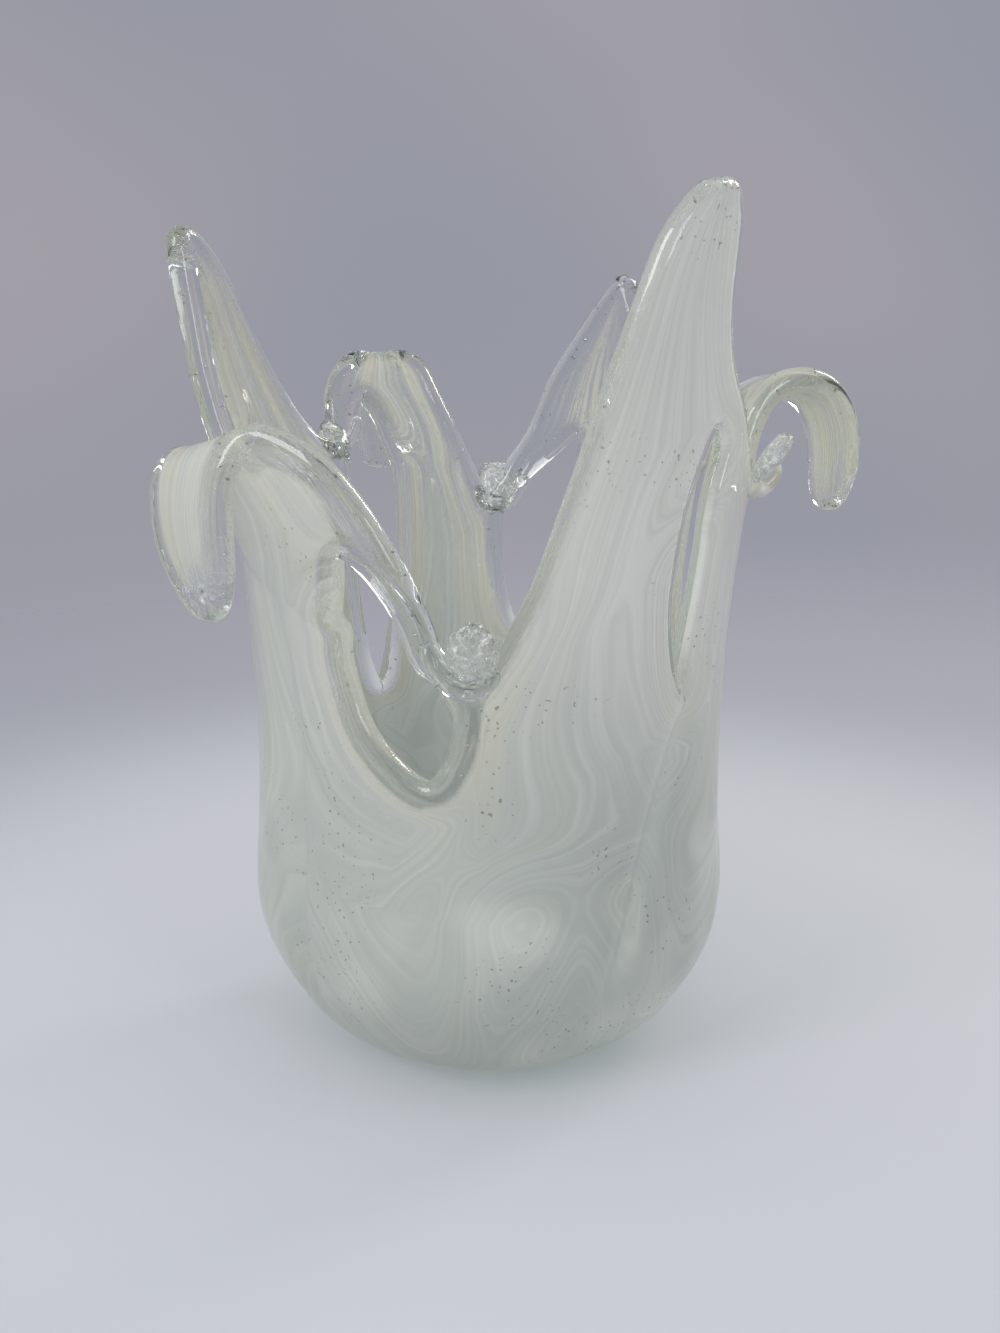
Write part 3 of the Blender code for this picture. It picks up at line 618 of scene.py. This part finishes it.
def maths(operation, first, second):
    """A Math node's result. At least one of the two is a wire."""
    tree = (first if isinstance(first, Wire) else second).tree
    return node(tree, "ShaderNodeMath", {0: first, 1: second}, operation=operation)


def blend(factor, first, second):
    """A mix of two colours."""
    colours = [value if isinstance(value, Wire) else (*value, 1.0) for value in (first, second)]
    return node(factor.tree, "ShaderNodeMix", {0: factor, 6: colours[0], 7: colours[1]}, output=2,
                data_type="RGBA")


def mix_shaders(factor, first, second):
    """The first shader where the factor is 0 and the second where it is 1."""
    return node(first.tree, "ShaderNodeMixShader", {0: factor, 1: first, 2: second})


def ramp(value, low, high):
    """Smooth step of a wire from 0 at low to 1 at high."""
    return node(value.tree, "ShaderNodeMapRange", {"Value": value, "From Min": low,
                                                   "From Max": high},
                interpolation_type="SMOOTHSTEP")


def object_place(tree):
    """The place in the object's own space, in metres."""
    return node(tree, "ShaderNodeTexCoord", output="Object")


def attribute(tree, name):
    """A point attribute of the mesh."""
    return node(tree, "ShaderNodeAttribute", output="Fac", attribute_name=name)


def ray(tree, name):
    """A number that the Light Path node gives for the ray in hand."""
    return node(tree, "ShaderNodeLightPath", output=name)


def new_tree(owner):
    """The emptied node tree of a material or a world."""
    owner.use_nodes = True
    owner.node_tree.nodes.clear()
    return owner.node_tree


def new_material(name):
    """A material without nodes, and its tree."""
    material = bpy.data.materials.new(name)
    return material, new_tree(material)


def close_tree(surface, volume=None, kind="ShaderNodeOutputMaterial"):
    """Ends a node tree in an output."""
    tree = surface.tree
    output = tree.nodes.new(kind)
    output.is_active_output = True
    tree.links.new(surface.socket, output.inputs["Surface"])
    if volume is not None:
        tree.links.new(volume.socket, output.inputs["Volume"])


def flow_noise(tree, across, up, detail, offset=0.0):
    """Noise on the flow map, drawn out along the pull of the glass."""
    uv = node(tree, "ShaderNodeUVMap", uv_map="flow")
    placed = node(tree, "ShaderNodeMapping", {"Vector": uv, "Scale": (across, up, 1.0),
                                              "Location": (offset, offset, 0.0)})
    return node(tree, "ShaderNodeTexNoise", {"Vector": placed, "Scale": 1.0, "Detail": detail,
                                             "Roughness": 0.55})


def object_noise(tree, scale, detail=2.0, roughness=0.5, fourth=None):
    """Noise in space with so many cells to the metre. A fourth coordinate may be given."""
    sized = node(tree, "ShaderNodeVectorMath", {0: object_place(tree), "Scale": scale},
                 operation="SCALE")
    inputs = {"Vector": sized, "Scale": 1.0, "Detail": detail, "Roughness": roughness}
    if fourth is None:
        return node(tree, "ShaderNodeTexNoise", inputs)
    return node(tree, "ShaderNodeTexNoise", dict(inputs, W=fourth), noise_dimensions="4D")


def cell_edges(tree, scale):
    """Distance to the nearest wall between random cells."""
    return node(tree, "ShaderNodeTexVoronoi", {"Vector": object_place(tree), "Scale": scale},
                output="Distance", feature="DISTANCE_TO_EDGE")


def crackle_lines(tree, scale):
    """A web of thin cracks, 1 on a crack and 0 between."""
    small = object_noise(tree, 2.2 * scale, 0.0)
    return ramp(cell_edges(tree, scale) + (small - 0.5) * 0.18, 0.12, 0.0)


def glass_shader(tree, colours, rough, height, strength, distance):
    """Clear glass whose surface is raised by a height."""
    bump = node(tree, "ShaderNodeBump", {"Height": height, "Strength": strength,
                                         "Distance": distance})
    return node(tree, "ShaderNodeBsdfPrincipled", {
        "Base Color": (*colours.clear, 1.0), "Roughness": rough, "IOR": GLASS_IOR,
        "Transmission Weight": 1.0, "Normal": bump})


def close_glass(glass, colours):
    """Ends a glass material, with a tint in its depth. Lamps and soft light pass the glass
    unbent, so what is inside it is lit. A ray that has been bent many times leaves the glass
    unbent too, so that no rim is black."""
    tree = glass.tree
    passing = maths("MAXIMUM", ray(tree, "Is Shadow Ray"), ray(tree, "Is Diffuse Ray"))
    bent = maths("GREATER_THAN", ray(tree, "Ray Depth"), MOST_BENDS)
    open_glass = node(tree, "ShaderNodeBsdfTransparent", {"Color": (*colours.clear, 1.0)})
    depth = node(tree, "ShaderNodeVolumeAbsorption", {
        "Color": (*colours.depth, 1.0), "Density": colours.depth_strength})
    close_tree(mix_shaders(maths("MAXIMUM", passing, bent), glass, open_glass), depth)


def matt_shader(tree, colour, alpha, rough=0.9, shine=0.0):
    """Paint that may be partly see-through."""
    return node(tree, "ShaderNodeBsdfPrincipled", {
        "Base Color": colour, "Roughness": rough, "Specular IOR Level": shine, "Alpha": alpha})


def clear_glass_material(colours):
    """Clear glass with fine pull lines, and crackle at the tips."""
    material, tree = new_material("clear_glass")
    tip = attribute(tree, "tip")
    height = flow_noise(tree, 0.9, 0.035, 1.0) * 0.3 + flow_noise(
        tree, 0.12, 0.03, 0.0, offset=7.0) * 1.2
    cracked = height + ramp(cell_edges(tree, 260.0), 0.0, 0.25) * tip * 0.7
    kinds = [glass_shader(tree, colours, rough, surface, 0.35, 0.0006)
             for surface, rough in ((height, 0.015), (cracked, 0.05))]
    close_glass(mix_shaders(maths("GREATER_THAN", tip, 0.02), *kinds), colours)
    return material


def milk_material(colours):
    """The milk layer. Its streaks follow the pull lines, which noise bends a little. It has
    warm and cool drifts, runs out in thin streaks towards the clear lips, and holds fine
    specks. Shadow rays pass it almost freely and soft light in part, so the cup is lit."""
    material, tree = new_material("milk_layer")
    height = node(tree, "ShaderNodeSeparateXYZ", {0: object_place(tree)}, output="Z")
    low = ramp(height, 0.125, 0.045)
    edge = attribute(tree, "edge_mm")
    clear_band = attribute(tree, "clear_mm")
    milk = attribute(tree, "milk")
    slow = object_noise(tree, 17.0, 1.0) - 0.5
    quick = object_noise(tree, 58.0, 0.0) - 0.5
    bent = attribute(tree, "line_mm") + slow * (low * 7.0 + 8.0)
    bent = bent + quick * (low * 2.5 + 1.0)
    hair = object_noise(tree, 16.0, 0.0, 0.6, bent * 1.1)
    fine = object_noise(tree, 14.0, 1.0, 0.6, bent * 0.42)
    broad = object_noise(tree, 9.0, 1.0, 0.5, bent * 0.085)
    cloud = object_noise(tree, 26.0, 1.0, 0.55)

    warm = ramp(edge, 24.0, 6.0) * 0.55 + ramp(broad, 0.42, 0.66) * 0.75
    # The warm share grows with height, and the brightness attribute lightens the upper front
    # towards white.
    warm = (warm * (ramp(height, 0.06, 0.15) * 0.7 + 0.2)).clamped()
    colour = blend(warm, colours.milk, colours.cream)
    calm = 1.0 - low * 0.45
    pale = ramp(fine, 0.42, 0.78) * (calm * 0.27) + ramp(cloud, 0.5, 0.75) * (low * 0.5)
    pale = pale + attribute(tree, "brightness") * 0.8
    pale = (pale + ramp(hair, 0.5, 0.78) * 0.12).clamped()
    colour = blend(pale, colour, colours.white)
    dull = ramp(fine, 0.52, 0.24) * (calm * 0.13) + ramp(hair, 0.48, 0.26) * 0.08
    colour = blend(dull.clamped(), colour, colours.shade)
    patch = ramp(object_noise(tree, 32.0, 0.0), 0.52, 0.66)
    dot = ramp(object_noise(tree, 800.0, 0.0), 0.74, 0.80) * patch * 0.6
    colour = blend(dot, colour, colours.speck)

    reach = ramp(edge + (cloud - 0.5) * 0.8 - clear_band, -0.9, 1.6)
    thin = ramp(milk + (fine + broad - 1.0) * 1.3, 0.0, 0.95)
    alpha = reach * maths("MAXIMUM", thin, milk * 2.2 - 1.2).clamped()
    veil = ramp(fine, 0.3, 0.75) * (ramp(milk, 0.0, 0.4) * 0.34)
    veil = (veil + ramp(hair, 0.56, 0.7) * 0.1) * ramp(edge, 3.0, 4.0)
    alpha = maths("MAXIMUM", alpha, veil)

    clear = node(tree, "ShaderNodeBsdfTransparent")
    glow = node(tree, "ShaderNodeBsdfTranslucent", {"Color": colour})
    seen = mix_shaders(0.42, matt_shader(tree, colour, alpha), mix_shaders(alpha, clear, glow))
    body = (ramp(edge - clear_band, -0.9, 1.6) * milk).clamped()
    plain = node(tree, "ShaderNodeBsdfDiffuse", {"Color": (*colours.milk, 1.0)})
    soft = mix_shaders(body * 0.4, clear, plain)
    shade = node(tree, "ShaderNodeBsdfTransparent", {
        "Color": blend(body, (1.0, 1.0, 1.0), (0.92, 0.93, 0.92))})
    close_tree(mix_shaders(ray(tree, "Is Shadow Ray"), mix_shaders(
        ray(tree, "Is Diffuse Ray"), seen, soft), shade))
    return material


def knob_material(colours):
    """Crackled clear glass: a web of cracks in the surface."""
    material, tree = new_material("crackled_glass")
    web = crackle_lines(tree, 330.0)
    height = object_noise(tree, 700.0) * 0.35 - web
    close_glass(glass_shader(tree, colours, web * 0.15 + 0.03, height, 0.4, 0.0005), colours)
    return material


def curl_material(colours):
    """Plain clear glass with soft waves, for the curls."""
    material, tree = new_material("curl_glass")
    waves = object_noise(tree, 240.0)
    close_glass(glass_shader(tree, colours, 0.02, waves, 0.3, 0.0006), colours)
    return material


def curl_milk_material(colours):
    """The milk inside a curl: cream and white in soft clouds with a few specks."""
    material, tree = new_material("curl_milk")
    cloud = object_noise(tree, 160.0, 3.0)
    colour = blend(ramp(cloud, 0.4, 0.65), colours.cream, colours.white)
    speck = ramp(object_noise(tree, 900.0), 0.7, 0.76)
    colour = blend(speck * 0.5, colour, colours.speck)
    close_tree(matt_shader(tree, colour, cloud * 0.4 + 0.6))
    return material


def web_material(colours):
    """The crackle inside a knob: pale flecks and lines, clear between them."""
    material, tree = new_material("crackle_web")
    web = maths("MAXIMUM", crackle_lines(tree, 380.0), crackle_lines(tree, 900.0) * 0.6)
    veil = ramp(object_noise(tree, 260.0, 3.0), 0.42, 0.7)
    tone = ramp(object_noise(tree, 500.0), 0.35, 0.65)
    colour = blend(tone, colours.shade, colours.white)
    flecks = matt_shader(tree, colour, (web * 0.5 + veil * 0.4).clamped(), 0.5, 0.3)
    shade = node(tree, "ShaderNodeBsdfTransparent", {"Color": (0.85, 0.86, 0.85, 1.0)})
    close_tree(mix_shaders(ray(tree, "Is Shadow Ray"), flecks, shade))
    return material


def seed_material():
    """Air seeds in the glass, which mirror like quicksilver."""
    material, tree = new_material("air_seeds")
    tone = node(tree, "ShaderNodeTexNoise", {"Vector": object_place(tree), "Scale": 300.0})
    colour = blend(ramp(tone, 0.4, 0.6), (0.42, 0.43, 0.36), (0.85, 0.88, 0.84))
    close_tree(node(tree, "ShaderNodeBsdfPrincipled", {
        "Base Color": colour, "Roughness": 0.12, "Metallic": 1.0}))
    return material


def length_property(name, description, default, low, high):
    """A length setting in metres."""
    return bpy.props.FloatProperty(name=name, description=description, default=default, min=low,
                                   max=high, unit="LENGTH", precision=4)


class GlassSizes(bpy.types.PropertyGroup):
    """Sizes of the glass in metres."""
    wall: length_property("Wall", "Thickness of the wall", 0.0062, 0.003, 0.009)
    lip: length_property("Lip", "Thickness along the rims", 0.0082, 0.004, 0.012)
    foot: length_property("Foot", "Thickness of the foot", 0.0085, 0.005, 0.012)
    milk: length_property("Milk layer", "Thickness of the milk layer", 0.0022, 0.0005, 0.004)
    milk_inset: length_property(
        "Milk inset", "Clear glass between a rim and the milk layer's body", 0.0034, 0.003, 0.01)
    ground: length_property("Ground base", "Radius of the flat base", 0.034, 0.02, 0.045)
    seed: length_property("Air seed", "Radius of the largest air seed", 0.0005, 0.0001, 0.001)


def colour_property(name, description, default):
    """A colour setting."""
    return bpy.props.FloatVectorProperty(name=name, description=description, default=default,
                                         subtype="COLOR", size=3, min=0.0, max=1.0)


class GlassColours(bpy.types.PropertyGroup):
    """Colours of the glass."""
    milk: colour_property("Milk", "Cool body of the milk layer", (0.50, 0.52, 0.505))
    cream: colour_property("Cream", "Warm drifts in the milk", (0.585, 0.565, 0.485))
    white: colour_property("White", "Bright pull lines", (0.80, 0.79, 0.77))
    shade: colour_property("Shade", "Thin darker pull lines", (0.41, 0.43, 0.41))
    speck: colour_property("Speck", "Fine specks", (0.16, 0.13, 0.07))
    clear: colour_property("Clear", "Clear glass", (0.985, 0.99, 0.985))
    depth: colour_property("Depth", "Tint of thick clear glass", (0.62, 0.78, 0.66))
    depth_strength: bpy.props.FloatProperty(
        name="Depth strength", description="How fast thick glass darkens", default=12.0, min=0.0,
        max=400.0)


class StudioSettings(bpy.types.PropertyGroup):
    """Floor, backdrop and lamps."""
    floor: colour_property("Floor", "Pale floor", (0.45, 0.465, 0.51))
    backdrop: colour_property("Backdrop", "Grey-blue backdrop", (0.305, 0.315, 0.37))
    blush: colour_property("Blush", "Warm drifts in the backdrop", (0.40, 0.365, 0.40))
    key: bpy.props.FloatProperty(name="Key lamp", description="Power of the large lamp in watts",
                                 default=8.0, min=0.0, max=200.0)
    fill: bpy.props.FloatProperty(name="Soft light", description="Strength of the soft light",
                                  default=0.84, min=0.0, max=3.0)


def finish_piece(piece, material):
    """Gives a piece its material and ties it to the frame."""
    piece.data.materials.append(material)
    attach(piece, "root")


def brightness_of(points):
    """How far the milk is lightened towards white: most on the tall front petal and less on the
    front hook, two bell curves of azimuth times a smooth step of height."""
    azimuth = np.degrees(np.arctan2(points[:, 1], points[:, 0])) % 360
    front = np.exp(-((azimuth - 312.0) / 40.0) ** 2)
    side = 0.38 * np.exp(-((azimuth - 215.0) / 38.0) ** 2)
    return (front + side) * smooth((points[:, 2] - 70.0) / 90.0)


class VASE_OT_clear_glass(bpy.types.Operator):
    """Makes the clear outer glass, a closed body with round rims"""
    bl_idname = "vase.clear_glass"
    bl_label = "Clear glass"

    def execute(self, context):
        sizes = context.scene.glass_sizes
        lip, wall, foot = sizes.lip / MM, sizes.wall / MM, sizes.foot / MM
        sheet = glass_sheet(7, 0.5 * lip)
        distance = edge_distance(sheet["points"], rim_of(sheet))
        half = half_thickness(sheet, distance, wall, lip, foot)
        points, faces, corners, source = thicken(sheet, half, 0.0, 8)
        reach = np.hypot(points[:, 0], points[:, 1])
        ground = 1.0 - smooth((reach - sizes.ground / MM) / 1.6)
        outside = points[:, 2] < 2.5
        points[:, 2] = np.where(outside, points[:, 2] * (1.0 - ground), points[:, 2])
        piece = put_mesh("vase_glass", points, faces, sheet["flow"][corners],
                         dict(tip=sheet["tip"][source]))
        finish_piece(piece, clear_glass_material(context.scene.glass_colours))
        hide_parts("vase")
        return {"FINISHED"}


class VASE_OT_milk_layer(bpy.types.Operator):
    """Makes the milk layer, a thin closed sheet inside the glass"""
    bl_idname = "vase.milk_layer"
    bl_label = "Milk layer"

    def execute(self, context):
        sizes = context.scene.glass_sizes
        rim = rim_of(glass_sheet(10, 0.0))
        sheet = glass_sheet(6, sizes.milk_inset / MM)
        distance = edge_distance(sheet["points"], rim)
        sheet["bulge"] = np.where(sheet["bulge"] > 0, 0.5 * sizes.milk / MM, 0.0)
        half = np.full(len(sheet["points"]), 0.5 * sizes.milk / MM)
        points, faces, corners, source = thicken(sheet, half, 0.0, 4)
        values = dict(edge_mm=distance[source], clear_mm=sheet["clear"][source],
                      milk=sheet["milk"][source], tip=sheet["tip"][source],
                      line_mm=pull_lines(sheet, rim, distance)[source],
                      brightness=brightness_of(sheet["points"])[source])
        piece = put_mesh("milk_layer", points, faces, sheet["flow"][corners], values)
        finish_piece(piece, milk_material(context.scene.glass_colours))
        return {"FINISHED"}


def ball(rings, segments):
    """Unit ball: a grid over two angles whose first and last rows are the poles."""
    polar = np.linspace(0.0, np.pi, rings + 1)[:, None]
    turn = np.linspace(0.0, 2 * np.pi, segments + 1)[None, :-1]
    grid = np.stack([np.sin(polar) * np.cos(turn), np.sin(polar) * np.sin(turn),
                     np.cos(polar) + 0 * turn], -1)
    number = np.arange((rings + 1) * segments).reshape(rings + 1, segments)
    number[0], number[-1] = number[0, 0], number[-1, 0]
    right = np.roll(number, -1, axis=1)
    faces = np.stack([number[:-1], number[1:], right[1:], right[:-1]], -1).reshape(-1, 4)
    used, faces = np.unique(faces, return_inverse=True)
    return grid.reshape(-1, 3)[used], faces.reshape(-1, 4)


def knob_points(unit, inner):
    """All knobs: a ball with waves added to its radius and a dimple on both flat sides, sized,
    leant and set at each petal's right root. Inner scales them about their centres."""
    found = []
    for number, petal in enumerate(PETALS):
        azimuth, radius, height = petal["right"][0][1:]
        out, up, lean = petal["knob"][:3]
        lumps = ripple(number + 11, 9, *(unit.T * 4.0)) * 0.035
        lumps = lumps + ripple(number + 51, 9, *(unit.T * 11.0)) * 0.014
        shape = unit * (0.5 * (1.0 + lumps))[:, None] * np.array(petal["knob"][3:])
        dimple = np.exp(-(unit[:, 1] ** 2 + unit[:, 2] ** 2) / 0.25)
        shape[:, 0] -= np.sign(unit[:, 0]) * 0.7 * dimple
        turn = (Matrix.Rotation(math.radians(azimuth), 3, "Z")
                @ Matrix.Rotation(math.radians(lean), 3, "Y"))
        centre = cartesian(azimuth + KNOB_TURN, radius + out, height + up)
        found.append(inner * shape @ np.array(turn).T + centre)
    return np.concatenate(found)


class VASE_OT_knobs(bpy.types.Operator):
    """Makes the six crackled knobs at the junctions and the web of cracks inside them"""
    bl_idname = "vase.knobs"
    bl_label = "Crackled knobs"

    def execute(self, context):
        colours = context.scene.glass_colours
        for name, rings, inner, material in (
                ("crackled_knobs", 36, 1.0, knob_material(colours)),
                ("knob_crackle", 24, 0.8, web_material(colours))):
            unit, corners = ball(rings, 2 * rings)
            faces = [corners + len(unit) * number for number in range(len(PETALS))]
            piece = put_mesh(name, knob_points(unit, inner), np.concatenate(faces))
            finish_piece(piece, material)
        return {"FINISHED"}


def tube(path, segments):
    """A closed round bar along a spline through rows of (x, y, z, radius): each ring is the
    path's point plus the radius times the cosine and sine of the turn along two directions
    square to the path. The two end rings shrink to a point."""
    table = np.asarray(path, float)
    gaps = np.linalg.norm(np.diff(table[:, :3], axis=0), axis=1)
    reach = np.concatenate([[0.0], np.cumsum(gaps)])
    t = np.linspace(0.0, reach[-1], 49)
    row = spline(t, np.column_stack([reach, table]))
    centre, radius = row[:, :3], np.maximum(row[:, 3], 0.2)
    ends = np.sqrt(np.clip(np.minimum(t, reach[-1] - t) / 1.5, 0.0, 1.0))
    along = np.gradient(centre, axis=0)
    along /= np.linalg.norm(along, axis=1, keepdims=True)
    outward = centre * np.array([1.0, 1.0, 0.0])
    first = np.cross(along, outward)
    first /= np.linalg.norm(first, axis=1, keepdims=True)
    second = np.cross(along, first)
    turn = np.linspace(0.0, 2.0 * np.pi, segments + 1)[:-1]
    ring = (first[:, None] * np.cos(turn)[None, :, None]
            + second[:, None] * np.sin(turn)[None, :, None])
    grid = centre[:, None] + ring * (radius * ends)[:, None, None]
    number = np.arange(len(t) * segments).reshape(len(t), segments)
    number[0], number[-1] = number[0, 0], number[-1, 0]
    right = np.roll(number, -1, axis=1)
    faces = np.stack([number[:-1], right[:-1], right[1:], number[1:]], -1).reshape(-1, 4)
    used, faces = np.unique(faces, return_inverse=True)
    return grid.reshape(-1, 3)[used], faces.reshape(-1, 4)


def curl_bars(thickness, milky):
    """The curls of all petals, or of those whose strap is milky, as one set of round bars."""
    points, faces, total = [], [], 0
    for petal in PETALS:
        if milky and petal["strap"] < 0.5:
            continue
        azimuth, radius, height = petal["right"][0][1:]
        curl = np.asarray(petal["curl"], float)
        turned = azimuth + np.degrees(curl[:, 0] / radius)
        path = cartesian(turned, radius + curl[:, 1], height + curl[:, 2])
        bar, corners = tube(np.column_stack([path, curl[:, 3] * thickness]), 24)
        points.append(bar)
        faces.append(corners + total)
        total += len(bar)
    return np.concatenate(points), np.concatenate(faces)


class VASE_OT_strap_curls(bpy.types.Operator):
    """Makes the curled ends of the straps under the knobs"""
    bl_idname = "vase.strap_curls"
    bl_label = "Strap curls"

    def execute(self, context):
        colours = context.scene.glass_colours
        finish_piece(put_mesh("strap_curls", *curl_bars(1.0, False)), curl_material(colours))
        finish_piece(put_mesh("curl_milk", *curl_bars(0.66, True)), curl_milk_material(colours))
        return {"FINISHED"}


class VASE_OT_air_seeds(bpy.types.Operator):
    """Makes the small air seeds that lie in rows in the clear glass"""
    bl_idname = "vase.air_seeds"
    bl_label = "Air seeds"

    def execute(self, context):
        largest = context.scene.glass_sizes.seed / MM
        sheet = glass_sheet(4, 2.0)
        normals = point_normals(sheet["points"], sheet["faces"])
        distance = edge_distance(sheet["points"], rim_of(sheet))
        random = np.random.default_rng(4)
        wanted = (distance < sheet["clear"]) & (sheet["points"][:, 2] > 100)
        weight = np.where(wanted, 1.0, 0.0) * (0.4 + 0.6 * (sheet["place"] > -0.4))
        chosen = random.choice(len(weight), 420, replace=False, p=weight / weight.sum())
        size = largest * random.uniform(0.3, 1.0, len(chosen)) ** 1.5
        place = sheet["points"][chosen]
        place = place + normals[chosen] * random.uniform(-1.9, 1.9, (len(chosen), 1))
        place = place + random.normal(0, 0.5, place.shape)
        unit, corners = ball(4, 7)
        points = place[:, None, :] + unit[None] * size[:, None, None]
        faces = corners[None] + (np.arange(len(chosen)) * len(unit))[:, None, None]
        piece = put_mesh("air_seeds", points.reshape(-1, 3), faces.reshape(-1, 4))
        finish_piece(piece, seed_material())
        return {"FINISHED"}


def lamp(name, place, target, size, power, colour):
    """A soft rectangular lamp that looks at a point."""
    data = bpy.data.lights.new(name, "AREA")
    data.shape = "RECTANGLE"
    data.size, data.size_y = size
    data.energy = power
    data.color = colour
    made = bpy.data.objects.new(name, data)
    made.location = place
    made.rotation_euler = (Vector(target) - Vector(place)).to_track_quat("-Z", "Y").to_euler()
    bpy.context.scene.collection.objects.link(made)
    return made


def seen_rays(tree):
    """1 for rays from the camera, straight or by a mirror or through glass, and 0 for soft
    light."""
    seen = maths("MAXIMUM", ray(tree, "Is Camera Ray"), ray(tree, "Is Glossy Ray"))
    return maths("MAXIMUM", seen, ray(tree, "Is Transmission Ray"))


class VASE_OT_stage(bpy.types.Operator):
    """Sets the floor, the backdrop, the lamps and the camera"""
    bl_idname = "vase.stage"
    bl_label = "Studio stage"

    def execute(self, context):
        scene = context.scene
        studio = scene.studio_settings
        side = np.array([-1.0, 1.0])
        x, y = np.meshgrid(side * 6000, side * 6000)
        corners = np.stack([x, y, 0 * x], -1).reshape(-1, 3)
        floor = put_mesh("floor", corners, grid_faces(2, 2))
        material, tree = new_material("pale_floor")
        far = node(tree, "ShaderNodeVectorMath", {0: object_place(tree)}, output="Value",
                   operation="LENGTH")
        drift = far + (object_noise(tree, 3.0, 1.0) - 0.5) * 0.12
        colour = blend(ramp(drift, 0.19, 0.46), studio.floor, studio.backdrop)
        cloth = matt_shader(tree, colour, 1.0, 0.95, 0.1)
        clear = node(tree, "ShaderNodeBsdfTransparent")
        close_tree(mix_shaders(ramp(far, 0.3, 0.95) * seen_rays(tree), cloth, clear))
        floor.data.materials.append(material)

        world = bpy.data.worlds.new("studio")
        tree = new_tree(world)
        soft = node(tree, "ShaderNodeBackground", {"Strength": studio.fill,
                                                   "Color": (1.0, 1.0, 1.0, 1.0)})
        direction = node(tree, "ShaderNodeTexCoord", output="Generated")
        drift = node(tree, "ShaderNodeTexNoise", {"Vector": direction, "Scale": 2.6,
                                                  "Detail": 1.0})
        colour = blend(ramp(drift, 0.42, 0.68), studio.backdrop, studio.blush)
        shown = node(tree, "ShaderNodeBackground", {"Color": colour, "Strength": 1.0})
        close_tree(mix_shaders(seen_rays(tree), soft, shown), kind="ShaderNodeOutputWorld")
        scene.world = world

        middle = (0.0, 0.0, 0.13)
        lamp("key_lamp", (-0.75, -0.75, 0.95), middle, (0.5, 0.7), studio.key, (1.0, 1.0, 1.0))
        lamp("window_lamp", (0.55, -0.9, 0.55), middle, (0.22, 0.5), studio.key * 0.25,
             (0.96, 0.98, 1.0))
        lamp("rim_lamp", (0.7, 0.6, 0.75), middle, (0.25, 0.4), studio.key * 0.5,
             (1.0, 0.93, 0.8))

        data = bpy.data.cameras.new("camera")
        data.sensor_fit = "VERTICAL"
        data.sensor_height = SENSOR
        data.lens = FOCAL_LENGTH / PHOTO_HEIGHT * SENSOR
        data.shift_x = SHIFT_X / PHOTO_HEIGHT
        data.shift_y = SHIFT_Y / PHOTO_HEIGHT
        camera = bpy.data.objects.new("camera", data)
        tilt = math.radians(CAMERA_TILT)
        camera.location = (0.0, -CAMERA_REACH * math.cos(tilt),
                           CAMERA_AIM + CAMERA_REACH * math.sin(tilt))
        camera.rotation_euler = (math.radians(90.0 - CAMERA_TILT), 0.0, 0.0)
        scene.collection.objects.link(camera)
        scene.camera = camera
        scene.view_settings.view_transform = "Standard"
        return {"FINISHED"}


class VASE_PT_panel(bpy.types.Panel):
    """Lists the settings and the pieces of the vase"""
    bl_label = "Glass vase"
    bl_idname = "VASE_PT_panel"
    bl_space_type = "VIEW_3D"
    bl_region_type = "UI"
    bl_category = "Glass vase"

    def draw(self, context):
        for group in (context.scene.glass_sizes, context.scene.glass_colours,
                      context.scene.studio_settings):
            box = self.layout.box()
            for key in group.__annotations__:
                box.prop(group, key)
        for operator in OPERATORS:
            self.layout.operator(operator.bl_idname)


OPERATORS = (VASE_OT_clear_glass, VASE_OT_milk_layer, VASE_OT_knobs, VASE_OT_strap_curls,
             VASE_OT_air_seeds, VASE_OT_stage)
GROUPS = (("glass_sizes", GlassSizes), ("glass_colours", GlassColours),
          ("studio_settings", StudioSettings))


def register():
    for name, group in GROUPS:
        bpy.utils.register_class(group)
        setattr(bpy.types.Scene, name, bpy.props.PointerProperty(type=group))
    for made in OPERATORS + (VASE_PT_panel,):
        bpy.utils.register_class(made)


def unregister():
    for made in reversed(OPERATORS + (VASE_PT_panel,)):
        bpy.utils.unregister_class(made)
    for name, group in reversed(GROUPS):
        delattr(bpy.types.Scene, name)
        bpy.utils.unregister_class(group)


def main():
    register()
    for operator in OPERATORS:
        group, name = operator.bl_idname.split(".")
        getattr(getattr(bpy.ops, group), name)()


if __name__ == "__main__":
    main()
